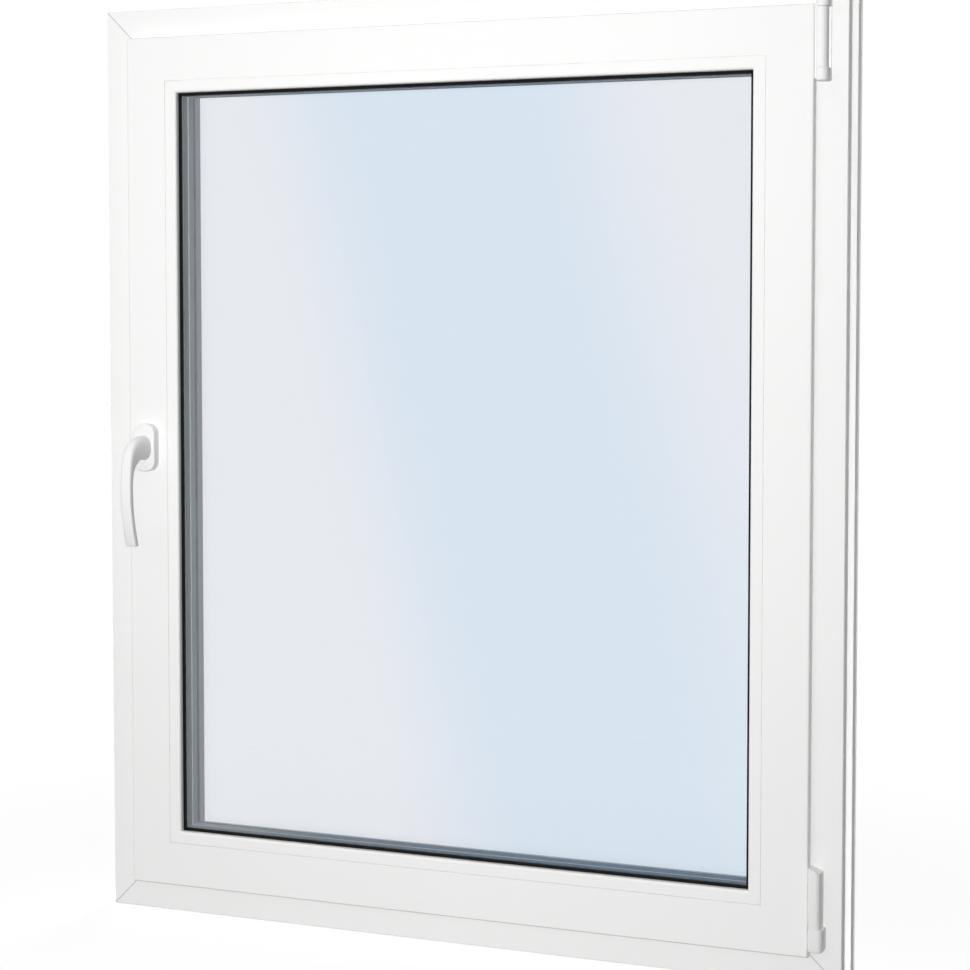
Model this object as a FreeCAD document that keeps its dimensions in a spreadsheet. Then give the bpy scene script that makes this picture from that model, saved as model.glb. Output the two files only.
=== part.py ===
"""White PVC-U tilt and turn window, triple glazed, hung on the right as seen from the room.

Millimetres. X runs to the right and Y to the outside for someone who stands in the room,
Z runs up. The origin is on the lower face of the sill, halfway along it and halfway through
the depth of the outer frame.
"""
import FreeCAD, Part
import math
import os
import Sketcher

SIZES = {
    # Outer frame
    "frame_width": 1000,
    "frame_height": 1200,
    "frame_depth": 70,
    "frame_leg": 45.5,
    "frame_leg_depth": 24,
    "frame_floor": 41,
    "frame_floor_start": 29,
    "frame_lip": 67,
    "frame_lip_depth": 12,
    "frame_lip_fall": 3,
    "frame_edge_round": 1,
    # Grooves along the back of the frame profile, which faces the wall
    "groove_sink": 3,
    "groove_start": 3,
    "room_groove": 13.6,
    "back_land": 33.4,
    "outside_groove": 14,
    # Drainage slots in the outside face of the sill
    "drain_length": 28,
    "drain_width": 5,
    "drain_sink": 12,
    "drain_rise": 24,
    "drain_corner": 2,
    "drain_inset": 200,
    # Sash
    "sash_margin": 37.5,
    "sash_proud": 15,
    "sash_depth": 70,
    "sash_face": 57.3,
    "sash_overlap_depth": 12,
    "sash_air": 12,
    "sash_upstand": 20.2,
    "sash_upstand_fall": 4,
    "sash_edge_round": 2.5,
    "keep_groove_width": 12,
    "keep_groove_sink": 3,
    "keep_groove_start": 24,
    # Glazing
    "glass_setback": 10.4,
    "glass_edge_gap": 5.2,
    "pane_thickness": 4,
    "cavity": 12,
    "spacer_height": 8,
    "sealant_height": 7,
    "outside_gasket_depth": 3,
    "outside_gasket_height": 10,
    "outside_gasket_lap": 0.5,
    "room_gasket_depth": 2.4,
    "room_gasket_overhang": 4,
    "gasket_round": 0.8,
    "block_length": 100,
    "block_inset": 70,
    # Glazing beads
    "bead_width": 16.3,
    "bead_joint": 1,
    "bead_round": 3.5,
    "bead_foot_start": 4.3,
    "bead_foot_depth": 2.9,
    "bead_foot_reach": 3.2,
    "bead_foot_clearance": 0.3,
    # Seals between sash and frame
    "seal_width": 5,
    "seal_setback": 2,
    # Handle
    "handle_height": 623,
    "handle_inset": 28.5,
    "rosette_width": 32.6,
    "rosette_height": 63.5,
    "rosette_thickness": 12,
    "rosette_corner": 14,
    "rosette_chamfer": 1.4,
    "neck_gap": 0.3,
    "neck_width": 25,
    "neck_height": 34,
    "neck_corner": 11,
    "neck_core_inset": 1,
    "neck_length": 26,
    "neck_tip_width": 13,
    "neck_tip_height": 18,
    "neck_tip_corner": 5,
    "grip_width": 16,
    "grip_thickness": 10.5,
    "grip_projection": 59.9,
    "grip_peak_drop": 53,
    "grip_bow_radius": 215,
    "grip_reach": 128,
    "grip_end_round": 2,
    "grip_edge_round": 3.4,
    "grip_bend_drop": 12,
    "grip_bend_radius": 34,
    "grip_shoulder_radius": 28,
    "spindle_side": 7,
    "spindle_fit": 0.15,
    "spindle_socket": 14,
    "spindle_sink": 24,
    "spindle_bore": 12,
    "spindle_end_gap": 2,
    # Locking rail in the edge groove of the lock stile, its cams and the keeps on the frame
    "lock_rail_inset": 60,
    "lock_rail_fit": 0.1,
    "cam_spacing": 760,
    "cam_radius": 4.5,
    "cam_length": 7,
    "keep_length": 44,
    "keep_base_depth": 20,
    "keep_base_thickness": 2.5,
    "keep_lip_depth": 6,
    "keep_lip_height": 8,
    "keep_lip_gap": 1,
    # Hinge at the top corner
    "hinge_gap": 1.2,
    "hinge_axis_rise": 11,
    "top_cap_radius": 8.2,
    "top_hinge_drop": 25,
    "upper_cap_height": 16,
    "lower_cap_height": 15.5,
    "cap_chamfer": 1.8,
    "sleeve_radius": 7.4,
    "sleeve_height": 70.4,
    "sleeve_gap": 0.3,
    "sleeve_side_gap": 0.2,
    "hinge_web_depth": 2,
    "hinge_web_width": 16,
    "pin_radius": 3,
    "pin_fit": 0.15,
    "pin_seat": 4,
    # Hinge at the bottom corner
    "cup_rise": 46,
    "cup_width": 17.4,
    "cup_depth": 21,
    "cup_height": 27.4,
    "cup_front_round": 6.5,
    "cup_bottom_chamfer": 2.6,
    "cover_width": 14.4,
    "cover_depth": 19.5,
    "cover_height": 73.1,
    "cover_fall": 6,
    "cover_front_round": 6,
    "cover_gap": 0.5,
    "pivot_radius": 4,
    "pivot_sink": 15,
}

# How far a cutting shape runs past the material it cuts
CUT_MARGIN = 5

# Two places nearer than this are taken to be the same
SAME_PLACE = 0.01

document = FreeCAD.newDocument("tilt_and_turn_window")
sheet = document.addObject("Spreadsheet::Sheet", "Sizes")
for row, (alias, size) in enumerate(SIZES.items(), start=1):
    sheet.set(f"A{row}", alias)
    sheet.set(f"B{row}", str(size))
    sheet.setAlias(f"B{row}", alias)
document.recompute()

pieces = []


def named(expression):
    """Expression with every plain size name written as the sheet's own name for it."""
    words = []
    word = ""
    for letter in expression + " ":
        if letter.isalnum() or letter in "_.":
            word += letter
        else:
            words.append(f"Sizes.{word}" if word in SIZES else word)
            words.append(letter)
            word = ""
    return "".join(words).strip()


def number(expression):
    return float(sheet.evalExpression(named(expression)))


# Places worked out from the sizes, as expressions
ROOM_FACE = "(-frame_depth / 2)"
SASH_FACE = "(-frame_depth / 2 - sash_proud)"
GLASS_INSET = "(sash_margin + sash_face + glass_edge_gap)"
UNIT_DEPTH = "(3 * pane_thickness + 2 * cavity)"
GLASS_FACE = f"({SASH_FACE} + glass_setback)"
UPSTAND_TOP = "(sash_face + sash_upstand)"
HANDLE_ACROSS = "(-frame_width / 2 + sash_margin + handle_inset)"
SASH_RIGHT = "(frame_width / 2 - sash_margin)"
TOP_AXIS_ACROSS = f"({SASH_RIGHT} + hinge_gap + top_cap_radius)"
HINGE_AXIS_DEPTH = f"({ROOM_FACE} - hinge_axis_rise)"


def tie(feature, property_name, expression):
    feature.setExpression(property_name, named(expression))


def new_body(label):
    body = document.addObject("PartDesign::Body", label)
    body.Label = label
    pieces.append(body)
    return body


def place(piece, across, depth, rise, rotation=None):
    """Puts the piece's own origin at a point given by three expressions."""
    if rotation:
        piece.Placement = FreeCAD.Placement(FreeCAD.Vector(), rotation)
    tie(piece, "Placement.Base.x", across)
    tie(piece, "Placement.Base.y", depth)
    tie(piece, "Placement.Base.z", rise)


def new_sketch(body, plane_role, name, offset=None):
    """Sketch on one of the body's own origin planes, moved along its normal by an expression."""
    sketch = body.newObject("Sketcher::SketchObject", name)
    planes = [plane for plane in body.Origin.OriginFeatures if plane.Role == plane_role]
    sketch.AttachmentSupport = [(planes[0], "")]
    sketch.MapMode = "FlatFace"
    if offset:
        tie(sketch, "AttachmentOffset.Base.z", offset)
    return sketch


def tie_point(sketch, line, end, across, up):
    for kind, expression in (("DistanceX", across), ("DistanceY", up)):
        datum = Sketcher.Constraint(kind, -1, 1, line, end, number(expression))
        index = sketch.addConstraint(datum)
        tie(sketch, f"Constraints[{index}]", expression)


def arc_between(start, end, radius):
    """Arc of a signed radius: the centre is left of the way from start to end if it is positive."""
    chord = end - start
    half = chord.Length / 2
    reach = math.sqrt(max(radius * radius - half * half, 0))
    left = FreeCAD.Vector(-chord.y, chord.x, 0).normalize()
    side = 1 if radius > 0 else -1
    centre = start + chord * 0.5 + left * (side * reach)
    middle = centre - left * (side * abs(radius))
    return Part.Arc(start, middle, end)


def add_outline(sketch, corners):
    """Closed outline. A corner is (across, up), or (across, up, radius) where an arc follows it."""
    first = sketch.GeometryCount
    count = len(corners)
    points = [FreeCAD.Vector(number(corner[0]), number(corner[1]), 0) for corner in corners]
    heads = []
    tails = []
    for index, corner in enumerate(corners):
        start = points[index]
        end = points[(index + 1) % count]
        if len(corner) == 2:
            sketch.addGeometry(Part.LineSegment(start, end), False)
            heads.append(1)
            tails.append(2)
        else:
            radius = number(corner[2])
            sketch.addGeometry(arc_between(start, end, radius), False)
            heads.append(1 if radius > 0 else 2)
            tails.append(2 if radius > 0 else 1)
    for index in range(count):
        after = (index + 1) % count
        joint = Sketcher.Constraint(
            "Coincident", first + index, tails[index], first + after, heads[after]
        )
        sketch.addConstraint(joint)
    for index, corner in enumerate(corners):
        tie_point(sketch, first + index, heads[index], corner[0], corner[1])
        if len(corner) == 3:
            radius = number(corner[2])
            datum = Sketcher.Constraint("Radius", first + index, abs(radius))
            place_in_list = sketch.addConstraint(datum)
            tie(sketch, f"Constraints[{place_in_list}]", f"abs({corner[2]})")


def add_circle(sketch, across, up, radius):
    index = sketch.GeometryCount
    centre = FreeCAD.Vector(number(across), number(up), 0)
    sketch.addGeometry(Part.Circle(centre, FreeCAD.Vector(0, 0, 1), number(radius)), False)
    tie_point(sketch, index, 3, across, up)
    datum = sketch.addConstraint(Sketcher.Constraint("Radius", index, number(radius)))
    tie(sketch, f"Constraints[{datum}]", radius)


def rectangle(left, bottom, right, top):
    return [(left, bottom), (right, bottom), (right, top), (left, top)]


def rounded_rectangle(width, height, corner, across="0", up="0"):
    """Outline about a point, with four corners of one radius."""
    right = f"({across} + ({width}) / 2)"
    left = f"({across} - ({width}) / 2)"
    top = f"({up} + ({height}) / 2)"
    bottom = f"({up} - ({height}) / 2)"
    return [
        (f"{left} + {corner}", bottom),
        (f"{right} - {corner}", bottom, corner),
        (right, f"{bottom} + {corner}"),
        (right, f"{top} - {corner}", corner),
        (f"{right} - {corner}", top),
        (f"{left} + {corner}", top, corner),
        (left, f"{top} - {corner}"),
        (left, f"{bottom} + {corner}", corner),
    ]


def add_pad(body, sketch, length, reverse=False, both_ways=False):
    pad = body.newObject("PartDesign::Pad", "Pad")
    pad.Profile = sketch
    pad.SideType = "Symmetric" if both_ways else "One side"
    pad.Reversed = reverse
    tie(pad, "Length", length)
    sketch.Visibility = False
    return pad


def add_pocket(body, sketch, depth, reverse=False, both_ways=False):
    """Pocket that has to take material away, which its volume shows."""
    document.recompute()
    before = body.Shape.Volume
    pocket = body.newObject("PartDesign::Pocket", "Pocket")
    pocket.Profile = sketch
    pocket.SideType = "Symmetric" if both_ways else "One side"
    pocket.Reversed = reverse
    tie(pocket, "Length", depth)
    document.recompute()
    if body.Shape.Volume >= before:
        raise ValueError(f"the pocket in {body.Label} cuts nothing")
    return pocket


def ease_edges(body, kind, size, wanted):
    """Fillet or Chamfer on the edges of the body's last feature for which wanted(edge) is true."""
    document.recompute()
    tip = body.Tip
    names = [f"Edge{i}" for i, edge in enumerate(tip.Shape.Edges, start=1) if wanted(edge)]
    eased = body.newObject(f"PartDesign::{kind}", kind)
    eased.Base = (tip, names)
    tie(eased, "Radius" if kind == "Fillet" else "Size", size)


def runs_along(edge, axis):
    """True where a straight edge runs along the axis."""
    if edge.Curve.TypeId != "Part::GeomLine":
        return False
    return abs(edge.tangentAt(edge.FirstParameter).dot(axis)) > 0.999


ACROSS = FreeCAD.Vector(1, 0, 0)
OUTWARD = FreeCAD.Vector(0, 1, 0)
UP = FreeCAD.Vector(0, 0, 1)


def side_rotation(inward, along):
    """Turns a member's own X to the middle of the window and its own Z along the side."""
    return FreeCAD.Rotation(inward, OUTWARD, along, "XYZ")


# Each side of the window: the turn, the length at an inset, and the place of the inset edge
SIDES = {
    "bottom": {
        "rotation": side_rotation(UP, -ACROSS),
        "length": "(frame_width - 2 * {inset})",
        "across": "0",
        "rise": "{inset}",
    },
    "top": {
        "rotation": side_rotation(-UP, ACROSS),
        "length": "(frame_width - 2 * {inset})",
        "across": "0",
        "rise": "frame_height - {inset}",
    },
    "left": {
        "rotation": side_rotation(ACROSS, UP),
        "length": "(frame_height - 2 * {inset})",
        "across": "-frame_width / 2 + {inset}",
        "rise": "frame_height / 2",
    },
    "right": {
        "rotation": side_rotation(-ACROSS, -UP),
        "length": "(frame_height - 2 * {inset})",
        "across": "frame_width / 2 - {inset}",
        "rise": "frame_height / 2",
    },
}


def mitred_member(label, side, inset, face, outline, start, reach):
    """Profile along one side, cut at 45 degrees at both ends.

    The outline's X runs from the inset edge to the middle of the window, its Y from the face
    on the room side to the outside. start and reach are the least and the largest X in it.
    """
    body = new_body(label)
    where = SIDES[side]
    length = where["length"].format(inset=inset)
    profile = new_sketch(body, "XY_Plane", "Profile")
    add_outline(profile, outline)
    add_pad(body, profile, length, both_ways=True)
    mitres = new_sketch(body, "XZ_Plane", "Mitres")
    near = f"({start} - {CUT_MARGIN})"
    far = f"({reach} + {CUT_MARGIN})"
    end = f"({length} / 2)"
    beyond = f"({end} + 2 * {CUT_MARGIN})"
    for sign in ("", "-"):
        add_outline(mitres, [
            (near, f"{sign}({end} - {near})"),
            (far, f"{sign}({end} - {far})"),
            (far, f"{sign}{beyond}"),
            (near, f"{sign}{beyond}"),
        ])
    add_pocket(body, mitres, "3 * (frame_depth + sash_depth)", both_ways=True)
    place(
        body,
        where["across"].format(inset=inset),
        face,
        where["rise"].format(inset=inset),
        where["rotation"],
    )
    return body


def ring(label, outer_inset, inner_inset, face, depth):
    """Flat ring round the opening, between two insets from the edge of the frame."""
    body = new_body(label)
    outline = new_sketch(body, "XZ_Plane", "Ring")
    for inset in (outer_inset, inner_inset):
        side = f"(frame_width / 2 - {inset})"
        add_outline(outline, rectangle(f"-{side}", inset, side, f"frame_height - {inset}"))
    add_pad(body, outline, depth, reverse=True)
    place(body, "0", face, "0")
    return body


def plate(label, width, depth, height, across, face, rise):
    """Plain rectangular block, given by its sizes and its left, front and bottom faces."""
    block = document.addObject("Part::Box", label)
    block.Label = label
    tie(block, "Length", width)
    tie(block, "Width", depth)
    tie(block, "Height", height)
    place(block, across, face, rise)
    pieces.append(block)
    return block


def round_bar(label, radius, length, across, depth, rise, rotation=None):
    """Cylinder from the point given, upright unless it is turned."""
    bar = document.addObject("Part::Cylinder", label)
    bar.Label = label
    tie(bar, "Radius", radius)
    tie(bar, "Height", length)
    place(bar, across, depth, rise, rotation)
    pieces.append(bar)
    return bar


def make_frame():
    """Four members: a low leg to the room, a drained floor and a high lip to the outside."""
    lip_face = "(frame_depth - frame_lip_depth)"
    room_groove_end = "(groove_start + room_groove)"
    outside_groove_start = f"({room_groove_end} + back_land)"
    outside_groove_end = f"({outside_groove_start} + outside_groove)"
    outline = [
        ("0", "frame_edge_round", "frame_edge_round"),
        ("frame_edge_round", "0"),
        ("frame_leg", "0"),
        ("frame_leg", "frame_leg_depth"),
        ("frame_floor", "frame_floor_start"),
        ("frame_floor", lip_face),
        ("frame_lip", lip_face),
        ("frame_lip - frame_lip_fall", "frame_depth"),
        ("0", "frame_depth"),
        ("0", outside_groove_end),
        ("groove_sink", outside_groove_end),
        ("groove_sink", outside_groove_start),
        ("0", outside_groove_start),
        ("0", room_groove_end),
        ("groove_sink", room_groove_end),
        ("groove_sink", "groove_start"),
        ("0", "groove_start"),
    ]
    labels = {
        "frame_sill": "bottom",
        "frame_head": "top",
        "frame_jamb_left": "left",
        "frame_jamb_right": "right",
    }
    members = {}
    for label, side in labels.items():
        members[label] = mitred_member(label, side, "0", ROOM_FACE, outline, "0", "frame_lip")
    drain_slots(members["frame_sill"])


def drain_slots(sill):
    """Two slots through the outside face of the sill, which let rainwater out."""
    slots = new_sketch(sill, "XZ_Plane", "Drains", "-frame_depth")
    for sign in ("", "-"):
        middle = f"{sign}(frame_width / 2 - drain_inset)"
        add_outline(slots, rounded_rectangle(
            "drain_width", "drain_length", "drain_corner", "drain_rise", middle
        ))
    add_pocket(sill, slots, "drain_sink", reverse=True)


def make_sash():
    """Four members: the lip over the frame, the glazing rebate and the outside upstand."""
    perimeter = "(frame_leg + sash_air - sash_margin)"
    upstand_face = f"(glass_setback + {UNIT_DEPTH} + outside_gasket_depth)"
    keep_groove_end = "(keep_groove_start + keep_groove_width)"
    keep_groove_floor = f"({perimeter} + keep_groove_sink)"
    foot_start = "(bead_foot_start - bead_foot_clearance)"
    foot_end = "(bead_foot_start + bead_foot_depth + bead_foot_clearance)"
    foot_floor = "(sash_face - bead_foot_reach - bead_foot_clearance)"
    outline = [
        ("0", "sash_edge_round", "sash_edge_round"),
        ("sash_edge_round", "0"),
        ("sash_face", "0"),
        ("sash_face", foot_start),
        (foot_floor, foot_start),
        (foot_floor, foot_end),
        ("sash_face", foot_end),
        ("sash_face", upstand_face),
        (UPSTAND_TOP, upstand_face),
        (f"{UPSTAND_TOP} - sash_upstand_fall", "sash_depth"),
        (perimeter, "sash_depth"),
        (perimeter, keep_groove_end),
        (keep_groove_floor, keep_groove_end),
        (keep_groove_floor, "keep_groove_start"),
        (perimeter, "keep_groove_start"),
        (perimeter, "sash_overlap_depth"),
        ("0", "sash_overlap_depth"),
    ]
    labels = {
        "sash_bottom_rail": "bottom",
        "sash_top_rail": "top",
        "sash_lock_stile": "left",
        "sash_hinge_stile": "right",
    }
    members = {}
    for label, side in labels.items():
        members[label] = mitred_member(
            label, side, "sash_margin", SASH_FACE, outline, "0", UPSTAND_TOP
        )
    spindle_hole(members["sash_lock_stile"])


def spindle_hole(stile):
    """Hole that takes the handle's spindle, from the room face into the stile."""
    hole = new_sketch(stile, "XZ_Plane", "SpindleHole")
    add_circle(hole, "handle_inset", "handle_height - frame_height / 2", "spindle_bore / 2")
    add_pocket(stile, hole, "spindle_sink + spindle_end_gap")


def make_beads():
    """Four beads that hold the glass, each with a foot in the groove of the sash."""
    back = "(glass_setback - room_gasket_depth)"
    joint = "sash_face"
    inner = "(sash_face + bead_width)"
    foot_end = "(bead_foot_start + bead_foot_depth)"
    foot_tip = "(sash_face - bead_foot_reach)"
    outline = [
        (joint, "bead_joint"),
        (f"{joint} + bead_joint", "0"),
        (f"{inner} - bead_round", "0", "bead_round"),
        (inner, "bead_round"),
        (inner, back),
        (joint, back),
        (joint, foot_end),
        (foot_tip, foot_end),
        (foot_tip, "bead_foot_start"),
        (joint, "bead_foot_start"),
    ]
    labels = {"bead_bottom": "bottom", "bead_top": "top", "bead_left": "left", "bead_right": "right"}
    for label, side in labels.items():
        mitred_member(label, side, "sash_margin", SASH_FACE, outline, foot_tip, inner)


def make_glazing():
    """Three panes with two spacers, their edge sealant, the gaskets and the setting blocks."""
    width = f"frame_width - 2 * {GLASS_INSET}"
    height = f"frame_height - 2 * {GLASS_INSET}"
    left = f"-frame_width / 2 + {GLASS_INSET}"
    pitch = "(pane_thickness + cavity)"
    for index, label in enumerate(("pane_room", "pane_middle", "pane_outside")):
        face = f"{GLASS_FACE} + {index} * {pitch}"
        plate(label, width, "pane_thickness", height, left, face, GLASS_INSET)
    for index, name in enumerate(("room", "outside")):
        face = f"{GLASS_FACE} + pane_thickness + {index} * {pitch}"
        spacer_edge = f"({GLASS_INSET} + sealant_height)"
        ring(f"edge_sealant_{name}", GLASS_INSET, spacer_edge, face, "cavity")
        sightline = f"({spacer_edge} + spacer_height)"
        ring(f"spacer_{name}", spacer_edge, sightline, face, "cavity")
    gasket_edge = "(sash_margin + sash_face + bead_width + room_gasket_overhang)"
    room_gasket = ring(
        "gasket_room", GLASS_INSET, gasket_edge, f"{GLASS_FACE} - room_gasket_depth",
        "room_gasket_depth",
    )
    round_nose(room_gasket, gasket_edge)
    outside_edge = f"(sash_margin + {UPSTAND_TOP} - outside_gasket_lap)"
    ring(
        "gasket_outside", f"({outside_edge} - outside_gasket_height)", outside_edge,
        f"{GLASS_FACE} + {UNIT_DEPTH}", "outside_gasket_depth",
    )
    first_block = f"({GLASS_INSET} + block_inset)"
    blocks = {
        "setting_block_left": f"-frame_width / 2 + {first_block}",
        "setting_block_right": f"frame_width / 2 - {first_block} - block_length",
    }
    for label, start in blocks.items():
        plate(
            label, "block_length", UNIT_DEPTH, "glass_edge_gap",
            start, GLASS_FACE, "sash_margin + sash_face",
        )


def round_nose(gasket, inset):
    """Rounds the visible front edge of the room gasket."""
    side = number(f"frame_width / 2 - {inset}")
    low = number(inset)
    high = number(f"frame_height - {inset}")

    def on_nose(edge):
        box = edge.BoundBox
        if box.YLength > SAME_PLACE or box.YMin > SAME_PLACE:
            return False
        inside = abs(box.Center.x) <= side + SAME_PLACE
        return inside and low - SAME_PLACE <= box.Center.z <= high + SAME_PLACE

    ease_edges(gasket, "Fillet", "gasket_round", on_nose)


def make_seals():
    """Rubber seals in the two gaps between sash and frame."""
    near = "(sash_margin + seal_setback)"
    ring("seal_room", near, f"({near} + seal_width)", f"{SASH_FACE} + sash_overlap_depth",
         "(sash_proud - sash_overlap_depth)")
    far = "(frame_lip - seal_setback)"
    sash_back = f"{SASH_FACE} + sash_depth"
    gap = "(frame_depth - frame_lip_depth + sash_proud - sash_depth)"
    ring("seal_outside", f"({far} - seal_width)", far, sash_back, gap)


def make_rosette():
    """Cover plate of the handle, with straight sides, round corners and a hole at its middle."""
    body = new_body("handle_rosette")
    outline = new_sketch(body, "XZ_Plane", "Outline")
    add_outline(outline, rounded_rectangle("rosette_width", "rosette_height", "rosette_corner"))
    add_pad(body, outline, "rosette_thickness")
    hole = new_sketch(body, "XZ_Plane", "Hole")
    add_circle(hole, "0", "0", "spindle_bore / 2")
    add_pocket(body, hole, "3 * rosette_thickness", both_ways=True)
    front = -number("rosette_thickness")
    bore = number("spindle_bore")

    def on_rim(edge):
        box = edge.BoundBox
        at_front = abs(box.YMin - front) < SAME_PLACE and box.YLength < SAME_PLACE
        return at_front and max(abs(box.Center.x), abs(box.Center.z)) > bore / 2

    ease_edges(body, "Chamfer", "rosette_chamfer", on_rim)
    place(body, HANDLE_ACROSS, SASH_FACE, "handle_height")


def bow(drop, inward="0"):
    """How far the bowed grip stands off the sash at a drop below the spindle."""
    radius = f"(grip_bow_radius - {inward})"
    return f"(grip_projection - grip_bow_radius + sqrt({radius} ^ 2 - ({drop} - grip_peak_drop) ^ 2))"


def make_lever():
    """Bowed grip on an oval neck, made as one casting, with a square socket for the spindle."""
    body = new_body("handle_lever")
    root = "(rosette_thickness + neck_gap)"
    under = "(neck_height / 2 - neck_core_inset)"
    bend_start = bow("grip_bend_drop")
    lean = "(grip_peak_drop - grip_bend_drop) / grip_bow_radius"
    bend_top = f"({bend_start} - grip_bend_radius * sqrt(1 - ({lean}) ^ 2))"
    bend_rise = f"(grip_bend_radius * (1 - {lean}) - grip_bend_drop)"
    back = "(grip_projection - grip_thickness)"
    side = new_sketch(body, "YZ_Plane", "Side")
    add_outline(side, [
        (f"-{root}", bend_rise),
        (f"-{bend_top}", bend_rise, "grip_bend_radius"),
        (f"-{bend_start}", "-grip_bend_drop", "grip_bow_radius"),
        (f"-{bow('grip_reach')}", "-grip_reach"),
        (f"-{bow('grip_reach', 'grip_thickness')}", "-grip_reach",
         "-(grip_bow_radius - grip_thickness)"),
        (f"-{back}", "-grip_peak_drop"),
        (f"-{back}", f"-({under} + grip_shoulder_radius)", "-grip_shoulder_radius"),
        (f"-({back} - grip_shoulder_radius)", f"-{under}"),
        (f"-{root}", f"-{under}"),
    ])
    add_pad(body, side, "grip_width", both_ways=True)
    half = number("grip_width") / 2
    root_depth = -number(root)
    end_rise = -number("grip_reach")

    def on_side(edge):
        box = edge.BoundBox
        at_root = box.YMin > root_depth - SAME_PLACE
        flat = box.XLength < SAME_PLACE and abs(abs(box.Center.x) - half) < SAME_PLACE
        return flat and not at_root and not at_end(edge)

    def at_end(edge):
        return edge.BoundBox.ZMax < end_rise + SAME_PLACE

    ease_edges(body, "Fillet", "grip_edge_round", on_side)
    ease_edges(body, "Fillet", "grip_end_round", at_end)
    base = new_sketch(body, "XZ_Plane", "NeckBase", root)
    add_outline(base, rounded_rectangle("neck_width", "neck_height", "neck_corner"))
    tip = new_sketch(body, "XZ_Plane", "NeckTip", f"{root} + neck_length")
    add_outline(tip, rounded_rectangle("neck_tip_width", "neck_tip_height", "neck_tip_corner"))
    neck = body.newObject("PartDesign::AdditiveLoft", "Neck")
    neck.Profile = base
    neck.Sections = [tip]
    document.recompute()
    socket = new_sketch(body, "XZ_Plane", "Socket", root)
    reach = "(spindle_side / 2 + spindle_fit)"
    add_outline(socket, rectangle(f"-{reach}", f"-{reach}", reach, reach))
    add_pocket(body, socket, "spindle_socket", reverse=True)
    place(body, HANDLE_ACROSS, SASH_FACE, "handle_height")


def make_spindle():
    """Square bar from the neck through the rosette into the sash."""
    front = "(rosette_thickness + neck_gap + spindle_socket - spindle_fit)"
    plate(
        "handle_spindle", "spindle_side", f"{front} + spindle_sink", "spindle_side",
        f"{HANDLE_ACROSS} - spindle_side / 2", f"{SASH_FACE} - {front}",
        "handle_height - spindle_side / 2",
    )


def make_lock():
    """Rail on the edge of the lock stile with two cams, and a hooked keep for each on the frame."""
    edge = "(-frame_width / 2 + frame_leg + sash_air)"
    middle = f"({SASH_FACE} + keep_groove_start + keep_groove_width / 2)"
    rail_end = "(frame_leg + sash_air + lock_rail_inset)"
    plate(
        "lock_rail", "keep_groove_sink", "keep_groove_width - 2 * lock_rail_fit",
        f"frame_height - 2 * {rail_end}", edge,
        f"{SASH_FACE} + keep_groove_start + lock_rail_fit", rail_end,
    )
    hook = f"({middle} - cam_radius - keep_lip_gap - keep_lip_depth)"
    for name, sign in (("bottom", "-"), ("top", "+")):
        rise = f"(frame_height / 2 {sign} cam_spacing / 2)"
        round_bar(
            f"lock_cam_{name}", "cam_radius", "cam_length", edge, middle, rise,
            FreeCAD.Rotation(UP, -ACROSS),
        )
        keep = new_body(f"lock_keep_{name}")
        section = new_sketch(keep, "XY_Plane", "Section")
        add_outline(section, [
            ("0", "0"),
            ("keep_lip_height", "0"),
            ("keep_lip_height", "keep_lip_depth"),
            ("keep_base_thickness", "keep_lip_depth"),
            ("keep_base_thickness", "keep_base_depth"),
            ("0", "keep_base_depth"),
        ])
        add_pad(keep, section, "keep_length")
        place(keep, "-frame_width / 2 + frame_leg", hook, f"{rise} - keep_length / 2")


def make_top_hinge():
    """Bracket with two round knuckles on the frame, the sash's sleeve between them and a pin."""
    sleeve_space = "(sleeve_height + 2 * sleeve_gap)"
    column = f"(lower_cap_height + {sleeve_space} + upper_cap_height)"
    bottom = f"(frame_height - top_hinge_drop - {column})"
    body = new_body("hinge_top_bracket")
    web = new_sketch(body, "XY_Plane", "Web")
    left = "-top_cap_radius"
    add_outline(web, rectangle(
        left, "(hinge_axis_rise - hinge_web_depth)", f"{left} + hinge_web_width", "hinge_axis_rise"
    ))
    add_pad(body, web, column)
    knuckles = {"LowerKnuckle": ("0", "lower_cap_height"),
                "UpperKnuckle": (f"(lower_cap_height + {sleeve_space})", "upper_cap_height")}
    for name, (rise, height) in knuckles.items():
        knuckle = new_sketch(body, "XY_Plane", name, rise)
        add_outline(knuckle, [
            ("-top_cap_radius", "0", "top_cap_radius"),
            ("0", "-top_cap_radius", "top_cap_radius"),
            ("top_cap_radius", "0"),
            ("top_cap_radius", "hinge_axis_rise"),
            ("-top_cap_radius", "hinge_axis_rise"),
        ])
        add_pad(body, knuckle, height)
    ends = (0, number(column))

    def on_end(edge):
        box = edge.BoundBox
        flat = box.ZLength < SAME_PLACE
        at_end = min(abs(box.Center.z - end) for end in ends) < SAME_PLACE
        return flat and at_end and edge.Curve.TypeId == "Part::GeomCircle"

    ease_edges(body, "Chamfer", "cap_chamfer", on_end)
    bore = new_sketch(body, "XY_Plane", "PinBore", "pin_seat")
    add_circle(bore, "0", "0", "pin_radius + pin_fit")
    add_pocket(body, bore, f"{column} - 2 * pin_seat", reverse=True)
    place(body, TOP_AXIS_ACROSS, HINGE_AXIS_DEPTH, bottom)
    sleeve = new_body("hinge_top_sleeve")
    section = new_sketch(sleeve, "XY_Plane", "Section")
    add_circle(section, "sleeve_radius - top_cap_radius + sleeve_side_gap", "0", "sleeve_radius")
    add_circle(section, "0", "0", "pin_radius + pin_fit")
    add_pad(sleeve, section, "sleeve_height")
    place(sleeve, TOP_AXIS_ACROSS, HINGE_AXIS_DEPTH, f"{bottom} + lower_cap_height + sleeve_gap")
    round_bar(
        "hinge_top_pin", "pin_radius", f"{column} - 2 * pin_seat",
        TOP_AXIS_ACROSS, HINGE_AXIS_DEPTH, f"{bottom} + pin_seat",
    )


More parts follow.
